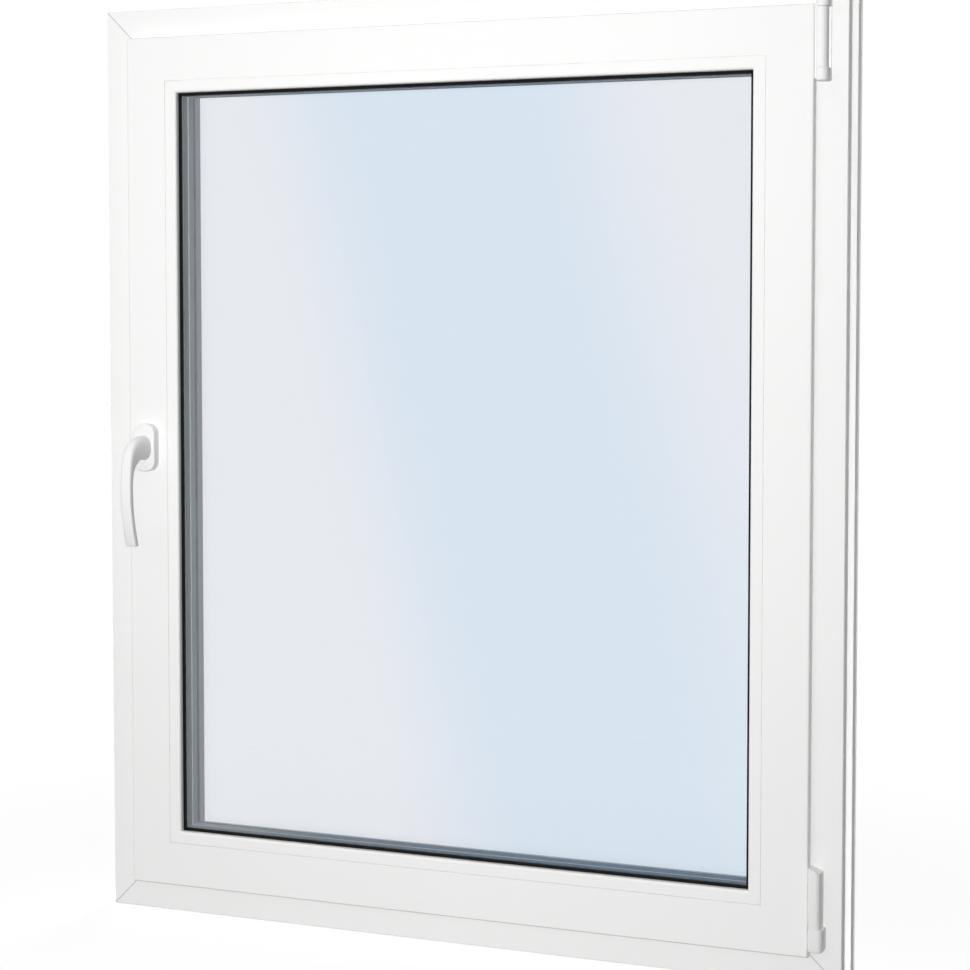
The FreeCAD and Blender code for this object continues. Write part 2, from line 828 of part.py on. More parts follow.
def make_bottom_hinge():
    """Cup on the frame that carries the sash, and the sash's cover above it with a slanted top."""
    left = f"({SASH_RIGHT} + hinge_gap)"
    cup = new_body("hinge_bottom_cup")
    front = new_sketch(cup, "XZ_Plane", "Front")
    add_outline(front, rectangle("0", "0", "cup_width", "cup_height"))
    add_pad(cup, front, "cup_depth")
    round_front(cup, "cup_width", "cup_depth", "cup_front_round")

    def under_front(edge):
        box = edge.BoundBox
        return box.ZMax < SAME_PLACE and box.YMin < -SAME_PLACE

    ease_edges(cup, "Chamfer", "cup_bottom_chamfer", under_front)
    bore = new_sketch(cup, "XY_Plane", "PivotBore", "cup_height")
    across = "cover_width / 2"
    deep = "-cup_depth / 2"
    add_circle(bore, across, deep, "pivot_radius + pin_fit")
    add_pocket(cup, bore, "pivot_sink")
    place(cup, left, ROOM_FACE, "cup_rise")
    cover = new_body("hinge_bottom_cover")
    face = new_sketch(cover, "XZ_Plane", "Front")
    add_outline(face, [
        ("0", "0"),
        ("cover_width", "0"),
        ("cover_width", "cover_height - cover_fall"),
        ("0", "cover_height"),
    ])
    add_pad(cover, face, "cover_depth")
    round_front(cover, "cover_width", "cover_depth", "cover_front_round")
    bore = new_sketch(cover, "XY_Plane", "PivotBore")
    add_circle(bore, across, f"{deep} + cover_gap", "pivot_radius + pin_fit")
    add_pocket(cover, bore, "pivot_sink", reverse=True)
    place(cover, left, f"{ROOM_FACE} - cover_gap", "cup_rise + cup_height + cover_gap")
    round_bar(
        "hinge_bottom_pivot", "pivot_radius", "2 * pivot_sink + cover_gap",
        f"{left} + {across}", f"{ROOM_FACE} + {deep}", "cup_rise + cup_height - pivot_sink",
    )


def round_front(body, width, depth, radius):
    """Rounds the upright edge at the front right, away from the sash."""
    right = number(width)
    front = -number(depth)

    def wanted(edge):
        box = edge.BoundBox
        at_right = abs(box.XMin - right) < SAME_PLACE
        return runs_along(edge, UP) and at_right and abs(box.YMin - front) < SAME_PLACE

    ease_edges(body, "Fillet", radius, wanted)


def check_and_write():
    """Refuses a failed or empty shape, then writes one file for each piece."""
    document.recompute()
    for item in document.Objects:
        if "Invalid" in item.State or "Error" in item.State:
            raise ValueError(f"{item.Label} failed: {item.State}")
    for piece in pieces:
        if piece.Shape.isNull() or not piece.Shape.isValid():
            raise ValueError(f"{piece.Label} has no valid shape")
    os.makedirs("parts", exist_ok=True)
    for piece in pieces:
        piece.Shape.exportStep(os.path.join("parts", f"{piece.Label}.step"))
        solids = len(piece.Shape.Solids)
        print(f"{piece.Label}: {solids} solid, {piece.Shape.Volume / 1000:.1f} cm3")


make_frame()
make_sash()
make_beads()
make_glazing()
make_seals()
make_rosette()
make_lever()
make_spindle()
make_lock()
make_top_hinge()
make_bottom_hinge()
check_and_write()
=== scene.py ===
import math

import bmesh
import bpy
from mathutils import Matrix, Vector


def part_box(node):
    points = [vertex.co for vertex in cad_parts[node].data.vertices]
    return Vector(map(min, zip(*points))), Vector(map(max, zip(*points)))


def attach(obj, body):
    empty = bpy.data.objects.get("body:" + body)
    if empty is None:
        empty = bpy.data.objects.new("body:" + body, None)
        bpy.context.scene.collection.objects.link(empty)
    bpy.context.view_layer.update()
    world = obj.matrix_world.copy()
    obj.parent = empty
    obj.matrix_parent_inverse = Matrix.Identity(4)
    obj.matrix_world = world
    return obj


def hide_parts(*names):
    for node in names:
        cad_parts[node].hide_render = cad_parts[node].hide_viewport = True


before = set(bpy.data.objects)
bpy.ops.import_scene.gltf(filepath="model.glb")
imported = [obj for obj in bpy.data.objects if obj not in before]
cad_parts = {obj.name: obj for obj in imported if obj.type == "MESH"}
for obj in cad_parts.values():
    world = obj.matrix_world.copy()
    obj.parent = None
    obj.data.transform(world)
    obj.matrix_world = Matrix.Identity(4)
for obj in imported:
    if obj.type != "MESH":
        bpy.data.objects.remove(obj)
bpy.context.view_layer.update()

# Camera: place and aim in metres and degrees, and the lens that gives the photograph's framing
CAMERA_PLACE = Vector((1.0817, -2.5747, 0.8198))
CAMERA_AZIMUTH = 22.244
CAMERA_DOWN = 2.96
CAMERA_LENS = 81.55
CAMERA_SENSOR = 36.0
CAMERA_SHIFT = -0.075

# Colours, as linear values
PVC_WHITE = (0.86, 0.862, 0.855)
PAINT_WHITE = (0.83, 0.832, 0.83)
# The bottom hinge covers' white is a darker copy of the hinge white, painted shade
COVER_SHADED_WHITE = (0.79, 0.79, 0.785)
HINGE_WHITE = (0.86, 0.86, 0.857)
# The blue is painted reflection: the glass's base colour in its leaning band
GLASS_REFLECTION_BLUE = (0.877, 0.916, 0.955)
GLASS_NEUTRAL = (0.925, 0.935, 0.953)
RUBBER_BLACK = (0.004, 0.004, 0.0045)
SEAL_GREY = (0.09, 0.092, 0.095)
# Spacer colours: the blue is painted reflection, and the outer bar is a lighter copy, painted light
ROOM_SPACER_GREY = (0.262, 0.298, 0.307)
ROOM_SPACER_MIDDLE = (0.115, 0.16, 0.2)
ROOM_SPACER_REFLECTION_BLUE = (0.072, 0.124, 0.172)
OUTER_SPACER_LIT_GREY = (0.40, 0.455, 0.472)
OUTER_SPACER_LIT_MIDDLE = (0.12, 0.195, 0.28)
OUTER_SPACER_LIT_REFLECTION_BLUE = (0.07, 0.161, 0.29)
# Painted highlight along the middle pane's edge
EDGE_HIGHLIGHT_GREY = (0.5, 0.54, 0.565)
# Painted shade on the sash's upstand behind the glass; the outer gasket wears it too
UPSTAND_SHADE_GREY = (0.15, 0.18, 0.2)
SEALANT_GREY = (0.16, 0.18, 0.19)
BLOCK_BLUE = (0.05, 0.14, 0.33)
STEEL_GREY = (0.55, 0.56, 0.57)
# Painted shade of the weld grooves
WELD_GROOVE_SHADE = (0.48, 0.48, 0.48)
# Painted shade in the frame's grooves
GROOVE_SHADE_GREY = (0.42, 0.42, 0.42)
FLOOR_PALE = (0.35, 0.35, 0.35)
FLOOR_GLOW = 0.74

# Painted blue reflection in the glass, as a band: its lean, how far clouds shift it, where its
# middle meets the floor, and how far from that it starts and ends to fade; then how the clouds turn
# and stretch
REFLECTION_LEAN = 0.25
REFLECTION_CLOUD = 0.16
REFLECTION_MIDDLE = 0.245
REFLECTION_CORE = 0.1
REFLECTION_REACH = 0.32
CLOUD_TURN = -14
CLOUD_STRETCH = (2.8, 1.0, 0.8)
GLASS_IOR = 1.5
SHADOW_TINT = (0.985, 0.988, 0.99)

# Spacer bars: the run from grey to blue, which is painted reflection, in metres across, where its
# middle colour lies on that run, and how thick the painted highlight at the middle pane's edge is
SPACER_GREY_END = -0.385
SPACER_BLUE_END = 0.15
SPACER_MIDDLE_STOP = 0.345
SPACER_HIGHLIGHT_WIDTH = 0.0003

# How far the painted shade on the sash's upstand stands in from the outer spacer, in metres
UPSTAND_SHADE_INSET = 0.0037

# Lever, in millimetres: the front and back points of each section, as distance off the sash and
# height from the spindle, then half the width and how square the section is
LEVER_SECTIONS = [
    (12.3, 17.0, 12.3, -17.0, 12.5, 2.3),
    (12.6, 16.9, 12.6, -16.9, 12.4, 2.3),
    (17.0, 15.9, 15.5, -16.3, 11.7, 2.4),
    (25.5, 15.5, 20.0, -16.0, 10.8, 2.5),
    (35.5, 13.1, 24.0, -16.1, 9.9, 2.7),
    (44.6, 7.6, 28.0, -16.8, 9.1, 2.9),
    (51.3, 0.2, 33.5, -18.8, 8.5, 3.1),
    (55.9, -11.0, 40.5, -23.6, 8.15, 3.3),
    (58.2, -26.0, 46.0, -30.7, 8.0, 3.5),
    (59.5, -40.0, 49.0, -40.0, 8.0, 3.6),
    (59.9, -55.0, 49.4, -55.0, 8.0, 3.6),
    (59.1, -72.0, 48.6, -72.0, 8.0, 3.6),
    (57.0, -88.0, 46.5, -88.0, 8.0, 3.6),
    (53.9, -104.0, 43.3, -104.0, 8.0, 3.6),
    (50.0, -118.0, 39.2, -118.0, 8.0, 3.6),
    (46.9, -126.6, 36.4, -126.6, 8.0, 3.6),
    (46.1, -127.6, 36.5, -127.6, 7.6, 3.4),
    (44.9, -128.0, 37.5, -128.0, 6.6, 3.2),
]
LEVER_POINTS = 24
SOCKET_HALF = 0.00365
SOCKET_DEPTH = 0.014
BORE_RADIUS = 0.006

# Rounding of moulded and cast edges, in metres
PLATE_EDGE = 0.0016
PLATE_CORNER = 0.014
CAP_EDGE = 0.003
CUP_EDGE = 0.0026
COVER_EDGE = 0.0012
SHARP_EDGE = 0.0004
FAINT_EDGE = 0.0001
SMALL_CORNER = 0.0027
CUP_CORNER = 0.0065
COVER_CORNER = 0.006
LEAST_RADIUS = 0.00005

# Rims: the turns of the rounding in degrees, and the flat kept inside it in metres
RIM_TURNS = (0, 15, 30, 45, 60, 75, 90)
RIM_FLAT = 0.0004

# Faces that meet at more than this many degrees keep a sharp edge
SHARP_ANGLE = 40

# Hinges, in metres: the web of the top one, the slant of the bottom cover, and the flat leaves that
# close the gap to the sash
KNUCKLE_GAP = 0.0003
WEB_DEPTH = 0.002
WEB_SIDE = 0.0004
WEB_SHORT = 0.004
COVER_FALL = 0.006
LEAF_GAP = 0.0002
LEAF_LAP = 0.002
LEAF_SHORT = 0.003
KNUCKLE_LEAF_SETBACK = 0.006
CUP_LEAF_SETBACK = 0.005
COVER_LEAF_SETBACK = 0.004

# Grooves along the back of the frame profile, where painted shade lies, in metres
GROOVE_SINK = 0.003
GROOVE_RIM = 0.0002
GROOVE_LIP = 0.0025

# Weld seams across the corners of the frame, as low grey strips of painted shade, in metres
SEAM_WIDTH = 0.0011
SEAM_RISE = 0.00004
SEAM_INSET = 0.0006
SEAM_OUTSIDE_REACH = 0.064

# Studio: the world's strength as light, and the floor's size, drop and fade to white in metres
WORLD_LIGHT = 0.24
FLOOR_SIZE = 60
FLOOR_DROP = 0.0005
FLOOR_NEAR = 0.5
FLOOR_FAR = 1.3

# Lamps: name, place, aim, width, height, power in watts, and spread in degrees where it is narrow.
# The narrow ones light only the head's top face and the frame's sides
LAMPS = [
    ("key", (-0.2, -2.3, 1.15), (0, 0, 0.9), 3.0, 1.8, 11, None),
    ("fill", (0.0, -2.2, 1.1), (0, 0, 0.8), 0.8, 0.8, 39, None),
    ("top", (-0.1, -1.3, 2.6), (0, 0, 0.9), 1.6, 0.8, 3, None),
    ("back", (0, 4.0, 0.9), (0, 0, 0.7), 1.4, 2.0, 118, None),
    ("head", (0, 0.005, 2.4), (0, 0.005, 1.2), 1.1, 0.05, 0.12, 2),
    ("rear", (-1.5, 1.5, 0.62), (-0.5, 0, 0.62), 0.02, 1.3, 0.2, 1.5),
    ("rear", (1.5, 1.5, 0.62), (0.5, 0, 0.62), 0.02, 1.3, 0.2, 1.5),
]
SHADOWLESS_LAMP = "fill"


def new_material(name):
    """Node material with its tree and its shader."""
    material = bpy.data.materials.new(name)
    material.use_nodes = True
    tree = material.node_tree
    shader = tree.nodes["Principled BSDF"]
    return material, tree, shader


def place_on_object(tree, stretch=(1, 1, 1)):
    """Coordinates fixed to the object, stretched along its axes."""
    coordinates = tree.nodes.new("ShaderNodeTexCoord")
    mapping = tree.nodes.new("ShaderNodeMapping")
    mapping.inputs["Scale"].default_value = stretch
    tree.links.new(coordinates.outputs["Object"], mapping.inputs["Vector"])
    return mapping.outputs["Vector"]


def add_noise(tree, vector, scale, detail):
    noise = tree.nodes.new("ShaderNodeTexNoise")
    noise.inputs["Scale"].default_value = scale
    noise.inputs["Detail"].default_value = detail
    tree.links.new(vector, noise.inputs["Vector"])
    return noise.outputs["Fac"]


def vary_colour(tree, shader, factor, dark, light):
    """Base colour that runs from dark to light with the factor."""
    ramp = tree.nodes.new("ShaderNodeValToRGB")
    ramp.color_ramp.elements[0].position = 0.3
    ramp.color_ramp.elements[0].color = (*dark, 1)
    ramp.color_ramp.elements[1].position = 0.7
    ramp.color_ramp.elements[1].color = (*light, 1)
    tree.links.new(factor, ramp.inputs["Fac"])
    tree.links.new(ramp.outputs["Color"], shader.inputs["Base Color"])


def vary_roughness(tree, shader, factor, low, high):
    span = tree.nodes.new("ShaderNodeMapRange")
    span.inputs["To Min"].default_value = low
    span.inputs["To Max"].default_value = high
    tree.links.new(factor, span.inputs["Value"])
    tree.links.new(span.outputs["Result"], shader.inputs["Roughness"])


def add_bump(tree, shader, height, strength, distance):
    bump = tree.nodes.new("ShaderNodeBump")
    bump.inputs["Strength"].default_value = strength
    bump.inputs["Distance"].default_value = distance
    tree.links.new(height, bump.inputs["Height"])
    tree.links.new(bump.outputs["Normal"], shader.inputs["Normal"])


def scaled(colour, factor):
    """Colour made lighter or darker, with no part over 1."""
    return tuple(min(part * factor, 1.0) for part in colour)


def moulded_plastic(name, colour, roughness, grain_scale, grain_depth):
    """Smooth plastic with a faint cloudiness, uneven sheen and a fine grain."""
    material, tree, shader = new_material(name)
    where = place_on_object(tree)
    clouds = add_noise(tree, where, scale=3.0, detail=3.0)
    vary_colour(tree, shader, clouds, scaled(colour, 0.985), scaled(colour, 1.01))
    smears = add_noise(tree, where, scale=14.0, detail=5.0)
    vary_roughness(tree, shader, smears, roughness - 0.05, roughness + 0.06)
    grain = add_noise(tree, where, scale=grain_scale, detail=2.0)
    add_bump(tree, shader, grain, strength=0.15, distance=grain_depth)
    return material


def extruded_pvc(name):
    """White extruded profile with faint clouds, an uneven low sheen and a fine grain."""
    material, tree, shader = new_material(name)
    where = place_on_object(tree)
    clouds = add_noise(tree, where, scale=2.2, detail=3.0)
    vary_colour(tree, shader, clouds, scaled(PVC_WHITE, 0.988), scaled(PVC_WHITE, 1.008))
    smears = add_noise(tree, where, scale=9.0, detail=5.0)
    vary_roughness(tree, shader, smears, 0.33, 0.43)
    grain = add_noise(tree, where, scale=900.0, detail=2.0)
    add_bump(tree, shader, grain, strength=0.12, distance=0.00005)
    return material


def frame_pvc():
    """The same white, with painted shade in the grooves along the back of the profile."""
    material = extruded_pvc("pvc_frame")
    tree = material.node_tree
    across, depth, rise = split_place(tree)
    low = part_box("frame_sill")[0]
    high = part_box("frame_head")[1]
    middle = (low.z + high.z) / 2
    flat = calculate(tree, "ABSOLUTE", across)
    tall = calculate(tree, "ABSOLUTE", calculate(tree, "SUBTRACT", rise, middle))
    edge = calculate(tree, "MAXIMUM", calculate(tree, "SUBTRACT", flat, high.x),
                     calculate(tree, "SUBTRACT", tall, high.z - middle))
    sunk = calculate(tree, "LESS_THAN", edge, -GROOVE_RIM)
    shallow = calculate(tree, "GREATER_THAN", edge, -GROOVE_SINK - GROOVE_RIM)
    inside = calculate(tree, "LESS_THAN", calculate(tree, "ABSOLUTE", depth), high.y - GROOVE_LIP)
    # Painted shade: the grooves' walls and floors turn grey
    mask = where_all(tree, sunk, shallow, inside)
    recolour(tree, tree.nodes["Principled BSDF"], mask, GROOVE_SHADE_GREY)
    return material


def split_place(tree):
    """The object's own x, y and z, which are the window's."""
    coordinates = tree.nodes.new("ShaderNodeTexCoord")
    axes = tree.nodes.new("ShaderNodeSeparateXYZ")
    tree.links.new(coordinates.outputs["Object"], axes.inputs["Vector"])
    return axes.outputs["X"], axes.outputs["Y"], axes.outputs["Z"]


def calculate(tree, operation, first, second=None, third=None):
    """Result of a sum on sockets or numbers."""
    node = tree.nodes.new("ShaderNodeMath")
    node.operation = operation
    for index, value in enumerate((first, second, third)):
        if isinstance(value, (int, float)):
            node.inputs[index].default_value = value
        elif value is not None:
            tree.links.new(value, node.inputs[index])
    return node.outputs["Value"]


def where_all(tree, *masks):
    """1 where every mask is 1, else 0."""
    total = masks[0]
    for mask in masks[1:]:
        total = calculate(tree, "MULTIPLY", total, mask)
    return total


def recolour(tree, shader, mask, colour):
    """Puts a colour over the shader's own base colour where the mask is 1."""
    mix = tree.nodes.new("ShaderNodeMix")
    mix.data_type = "RGBA"
    before = shader.inputs["Base Color"].links[0].from_socket
    tree.links.new(mask, mix.inputs["Factor"])
    tree.links.new(before, mix.inputs["A"])
    mix.inputs["B"].default_value = (*colour, 1)
    tree.links.new(mix.outputs["Result"], shader.inputs["Base Color"])


def sash_pvc():
    """The same white with painted shade: a grey band on the upstand, outside the glass."""
    material = extruded_pvc("pvc_sash")
    tree = material.node_tree
    across, depth, rise = split_place(tree)
    low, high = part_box("spacer_outside")
    reach = high.x - UPSTAND_SHADE_INSET
    beside = calculate(tree, "LESS_THAN", calculate(tree, "ABSOLUTE", across), reach)
    above = calculate(tree, "GREATER_THAN", rise, low.z + UPSTAND_SHADE_INSET)
    below = calculate(tree, "LESS_THAN", rise, high.z - UPSTAND_SHADE_INSET)
    behind = calculate(tree, "GREATER_THAN", depth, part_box("pane_outside")[1].y)
    # Painted shade: the upstand outside the glass turns grey
    mask = where_all(tree, beside, behind, above, below)
    recolour(tree, tree.nodes["Principled BSDF"], mask, UPSTAND_SHADE_GREY)
    return material


def clear_glass():
    """Clear float glass, with a painted pale blue reflection in a soft, cloudy band that leans
    across it.
    """
    material, tree, shader = new_material("glass_clear")
    coordinates = tree.nodes.new("ShaderNodeTexCoord")
    across = tree.nodes.new("ShaderNodeVectorMath")
    across.operation = "DOT_PRODUCT"
    across.inputs[1].default_value = (1, 0, REFLECTION_LEAN)
    tree.links.new(coordinates.outputs["Object"], across.inputs[0])
    turn = tree.nodes.new("ShaderNodeMapping")
    turn.inputs["Rotation"].default_value = (0, math.radians(CLOUD_TURN), 0)
    turn.inputs["Scale"].default_value = CLOUD_STRETCH
    tree.links.new(coordinates.outputs["Object"], turn.inputs["Vector"])
    clouds = add_noise(tree, turn.outputs["Vector"], scale=1.3, detail=1.5)
    place = calculate(tree, "MULTIPLY_ADD", clouds, REFLECTION_CLOUD, across.outputs["Value"])
    from_middle = calculate(tree, "SUBTRACT", place, REFLECTION_MIDDLE + REFLECTION_CLOUD / 2)
    span = tree.nodes.new("ShaderNodeMapRange")
    span.interpolation_type = "SMOOTHSTEP"
    span.inputs["From Min"].default_value = REFLECTION_CORE
    span.inputs["From Max"].default_value = REFLECTION_REACH
    tree.links.new(calculate(tree, "ABSOLUTE", from_middle), span.inputs["Value"])
    # Painted reflection: the base colour turns blue where the band lies
    ramp = tree.nodes.new("ShaderNodeValToRGB")
    ramp.color_ramp.elements[0].color = (*GLASS_REFLECTION_BLUE, 1)
    ramp.color_ramp.elements[1].color = (*GLASS_NEUTRAL, 1)
    tree.links.new(span.outputs["Result"], ramp.inputs["Fac"])
    tree.links.new(ramp.outputs["Color"], shader.inputs["Base Color"])
    shader.inputs["Roughness"].default_value = 0.0
    shader.inputs["IOR"].default_value = GLASS_IOR
    shader.inputs["Transmission Weight"].default_value = 1.0
    output = tree.nodes["Material Output"]
    through = tree.nodes.new("ShaderNodeBsdfTransparent")
    through.inputs["Color"].default_value = (*SHADOW_TINT, 1)
    path = tree.nodes.new("ShaderNodeLightPath")
    mix = tree.nodes.new("ShaderNodeMixShader")
    tree.links.new(path.outputs["Is Shadow Ray"], mix.inputs["Fac"])
    tree.links.new(shader.outputs["BSDF"], mix.inputs[1])
    tree.links.new(through.outputs["BSDF"], mix.inputs[2])
    tree.links.new(mix.outputs["Shader"], output.inputs["Surface"])
    return material


def spacer_bar(name, grey, middle, blue):
    """Spacer: grey on the lock side, bluer along the rest as painted reflection, with a painted
    highlight line.
    """
    material, tree, shader = new_material(name)
    across, depth, _ = split_place(tree)
    span = tree.nodes.new("ShaderNodeMapRange")
    span.inputs["From Min"].default_value = SPACER_GREY_END
    span.inputs["From Max"].default_value = SPACER_BLUE_END
    tree.links.new(across, span.inputs["Value"])
    ramp = tree.nodes.new("ShaderNodeValToRGB")
    ramp.color_ramp.elements[0].color = (*grey, 1)
    ramp.color_ramp.elements[1].color = (*blue, 1)
    ramp.color_ramp.elements.new(SPACER_MIDDLE_STOP).color = (*middle, 1)
    tree.links.new(span.outputs["Result"], ramp.inputs["Fac"])
    tree.links.new(ramp.outputs["Color"], shader.inputs["Base Color"])
    # Painted highlight: a pale line on the outer bar where the middle pane's edge meets it
    edge_highlight = calculate(tree, "COMPARE", depth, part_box("spacer_outside")[0].y, SPACER_HIGHLIGHT_WIDTH)
    recolour(tree, shader, edge_highlight, EDGE_HIGHLIGHT_GREY)
    lines = add_noise(tree, place_on_object(tree), scale=40.0, detail=4.0)
    vary_roughness(tree, shader, lines, 0.45, 0.6)
    add_bump(tree, shader, lines, strength=0.1, distance=0.00005)
    shader.inputs["Specular IOR Level"].default_value = 0.2
    return material


def rubber(name, colour, roughness):
    """Matt rubber or sealant with a little dust and a fine grain."""
    material, tree, shader = new_material(name)
    where = place_on_object(tree)
    dust = add_noise(tree, where, scale=30.0, detail=4.0)
    vary_colour(tree, shader, dust, scaled(colour, 0.8), scaled(colour, 1.3))
    vary_roughness(tree, shader, dust, roughness - 0.06, roughness + 0.08)
    grain = add_noise(tree, where, scale=1500.0, detail=2.0)
    add_bump(tree, shader, grain, strength=0.2, distance=0.00005)
    shader.inputs["Specular IOR Level"].default_value = 0.15
    return material


def bare_metal(name, colour, roughness, stretch):
    """Metal with fine lines drawn along its length."""
    material, tree, shader = new_material(name)
    where = place_on_object(tree, stretch)
    lines = add_noise(tree, where, scale=60.0, detail=4.0)
    vary_colour(tree, shader, lines, scaled(colour, 0.92), scaled(colour, 1.05))
    vary_roughness(tree, shader, lines, roughness - 0.05, roughness + 0.08)
    add_bump(tree, shader, lines, strength=0.1, distance=0.00005)
    shader.inputs["Metallic"].default_value = 0.7
    return material


def painted_casting():
    """White powder coat: a very fine orange peel under a clear sheen."""
    material, tree, shader = new_material("powder_coat_white")
    where = place_on_object(tree)
    clouds = add_noise(tree, where, scale=12.0, detail=3.0)
    vary_colour(tree, shader, clouds, scaled(PAINT_WHITE, 0.985), PAINT_WHITE)
    peel = add_noise(tree, where, scale=420.0, detail=2.0)
    vary_roughness(tree, shader, peel, 0.26, 0.34)
    shader.inputs["Specular IOR Level"].default_value = 0.3
    add_bump(tree, shader, peel, strength=0.1, distance=0.0001)
    return material


def link_piece(name, points, faces, material, body, stands_for=()):
    """New object from points and faces, smooth but for its sharp edges, that rides on a body."""
    mesh = bpy.data.meshes.new(name)
    mesh.from_pydata(points, [], faces)
    work = bmesh.new()
    work.from_mesh(mesh)
    bmesh.ops.recalc_face_normals(work, faces=work.faces)
    work.to_mesh(mesh)
    work.free()
    mesh.polygons.foreach_set("use_smooth", [True] * len(mesh.polygons))
    mesh.set_sharp_from_angle(angle=math.radians(SHARP_ANGLE))
    mesh.materials.append(material)
    piece = bpy.data.objects.new(name, mesh)
    bpy.context.scene.collection.objects.link(piece)
    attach(piece, body)
    if stands_for:
        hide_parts(*stands_for)
    return piece


def skin(rings, looped=False):
    """Points and faces through rings of equally many points, with flat ends or closed in a loop."""
    count = len(rings[0])
    points = [point for ring in rings for point in ring]
    faces = []
    for layer in range(len(rings) if looped else len(rings) - 1):
        low = layer * count
        high = (layer + 1) % len(rings) * count
        for step in range(count):
            after = (step + 1) % count
            faces.append((low + step, low + after, high + after, high + step))
    if not looped:
        faces.append(tuple(range(count)))
        faces.append(tuple(range(len(points) - count, len(points))))
    return points, faces


def joined(*parts):
    """One set of points and faces from several."""
    points = []
    faces = []
    for more_points, more_faces in parts:
        start = len(points)
        points += more_points
        faces += [tuple(start + index for index in face) for face in more_faces]
    return points, faces


def rounded_outline(corners, radii, inset=0.0, steps=8):
    """Points round a convex shape, anticlockwise, drawn in by the inset, with rounded corners."""
    outline = []
    for index, corner in enumerate(corners):
        here = Vector(corner)
        before = (Vector(corners[index - 1]) - here).normalized()
        after = (Vector(corners[(index + 1) % len(corners)]) - here).normalized()
        half = before.angle(after) / 2
        inward = (before + after).normalized()
        here = here + inward * (inset / math.sin(half))
        radius = max(radii[index] - inset, LEAST_RADIUS)
        middle = here + inward * (radius / math.sin(half))
        spoke = here + before * (radius / math.tan(half)) - middle
        turn = math.pi - 2 * half
        for step in range(steps + 1):
            outline.append(middle + Matrix.Rotation(turn * step / steps, 2) @ spoke)
    return outline


def prism_rings(corners, radii, low, high, low_edge, high_edge):
    """Rings of a prism with both rims rounded; high is a height, or gives it at a point."""
    def rim(edge, turn):
        angle = math.radians(turn)
        return edge * (1 - math.sin(angle)), edge * (1 - math.cos(angle))

    rings = []
    top = high if callable(high) else lambda point: high
    levels = [(low_edge + RIM_FLAT, 0.0, False)]
    levels += [(*rim(low_edge, turn), False) for turn in RIM_TURNS]
    levels += [(*rim(high_edge, turn), True) for turn in reversed(RIM_TURNS)]
    levels.append((high_edge + RIM_FLAT, 0.0, True))
    for inset, drop, at_top in levels:
        ring = []
        for point in rounded_outline(corners, radii, inset):
            height = top(point) - drop if at_top else low + drop
            ring.append((point.x, point.y, height))
        rings.append(ring)
    return rings


def corners_of(left, front, right, back):
    """Corners of a rectangle, anticlockwise."""
    return [(left, front), (right, front), (right, back), (left, back)]


def spindle_centre():
    """Where the spindle's axis lies, across and up."""
    low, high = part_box("handle_spindle")
    return (low.x + high.x) / 2, (low.z + high.z) / 2


def make_plate(material):
    """Cover plate of the handle: a soft rim all round, and a bore for the spindle."""
    low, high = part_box("handle_rosette")
    across, rise = spindle_centre()
    corners = corners_of(low.x - across, low.z - rise, high.x - across, high.z - rise)
    rings = prism_rings(corners, [PLATE_CORNER] * 4, 0.0, high.y - low.y, FAINT_EDGE,
                        PLATE_EDGE)
    for depth in (high.y - low.y, 0.0):
        circle = []
        for point in rings[0]:
            way = Vector(point[:2]).normalized() * BORE_RADIUS
            circle.append((way.x, way.y, depth))
        rings.append(circle)
    placed = [[(across + x, high.y - z, rise + y) for x, y, z in ring] for ring in rings]
    points, faces = skin(placed, looped=True)
    link_piece("handle_plate_soft", points, faces, material, "window", ["handle_rosette"])


def oval_ring(front, back, half_width, squareness):
    """Ring through a front and a back point (off the sash, up), between round and square."""
    middle = (Vector(front) + Vector(back)) / 2
    reach = (Vector(front) - Vector(back)) / 2
    ring = []
    for step in range(LEVER_POINTS):
        angle = 2 * math.pi * step / LEVER_POINTS
        along = math.copysign(abs(math.cos(angle)) ** (2 / squareness), math.cos(angle))
        aside = math.copysign(abs(math.sin(angle)) ** (2 / squareness), math.sin(angle))
        out, up = middle + reach * along
        ring.append((aside * half_width, out, up))
    return ring


def make_lever(material):
    """Cast lever: an oval neck that turns down into a bowed grip, with a square socket."""
    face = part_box("handle_rosette")[1].y
    across, rise = spindle_centre()
    rings = []
    for out_front, up_front, out_back, up_back, half_width, squareness in LEVER_SECTIONS:
        front = (out_front / 1000, up_front / 1000)
        back = (out_back / 1000, up_back / 1000)
        rings.append(oval_ring(front, back, half_width / 1000, squareness))
    root = rings[0][0][1]
    socket = []
    for point in rings[0]:
        longest = max(abs(point[0]), abs(point[2]))
        socket.append((point[0] / longest * SOCKET_HALF, root, point[2] / longest * SOCKET_HALF))
    floor = [(x, root + SOCKET_DEPTH, up) for x, out, up in socket]
    rings = [floor, socket] + rings
    placed = [[(across + x, face - out, rise + up) for x, out, up in ring] for ring in rings]
    points, faces = skin(placed)
    lever = link_piece("handle_lever_cast", points, faces, material, "handle",
                       ["handle_lever"])
    smooth = lever.modifiers.new("soft", "SUBSURF")
    smooth.levels = 2
    smooth.render_levels = 2
    crease_socket(lever.data)


def crease_socket(mesh):
    """Keeps the socket's edges straight under the subdivision."""
    creases = mesh.attributes.new("crease_edge", "FLOAT", "EDGE")
    for edge in mesh.edges:
        if max(edge.vertices) < 2 * LEVER_POINTS:
            creases.data[edge.index].value = 1.0


def side_leaf(low, high, setback):
    """Rings of the flat part that closes the gap between a hinge's cover and the sash."""
    sash_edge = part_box("sash_hinge_stile")[1].x
    corners = corners_of(sash_edge + LEAF_GAP, low.y + setback, low.x + LEAF_LAP, high.y)
    return prism_rings(corners, [SHARP_EDGE] * 4, low.z + LEAF_SHORT, high.z - LEAF_SHORT,
                       SHARP_EDGE, SHARP_EDGE)


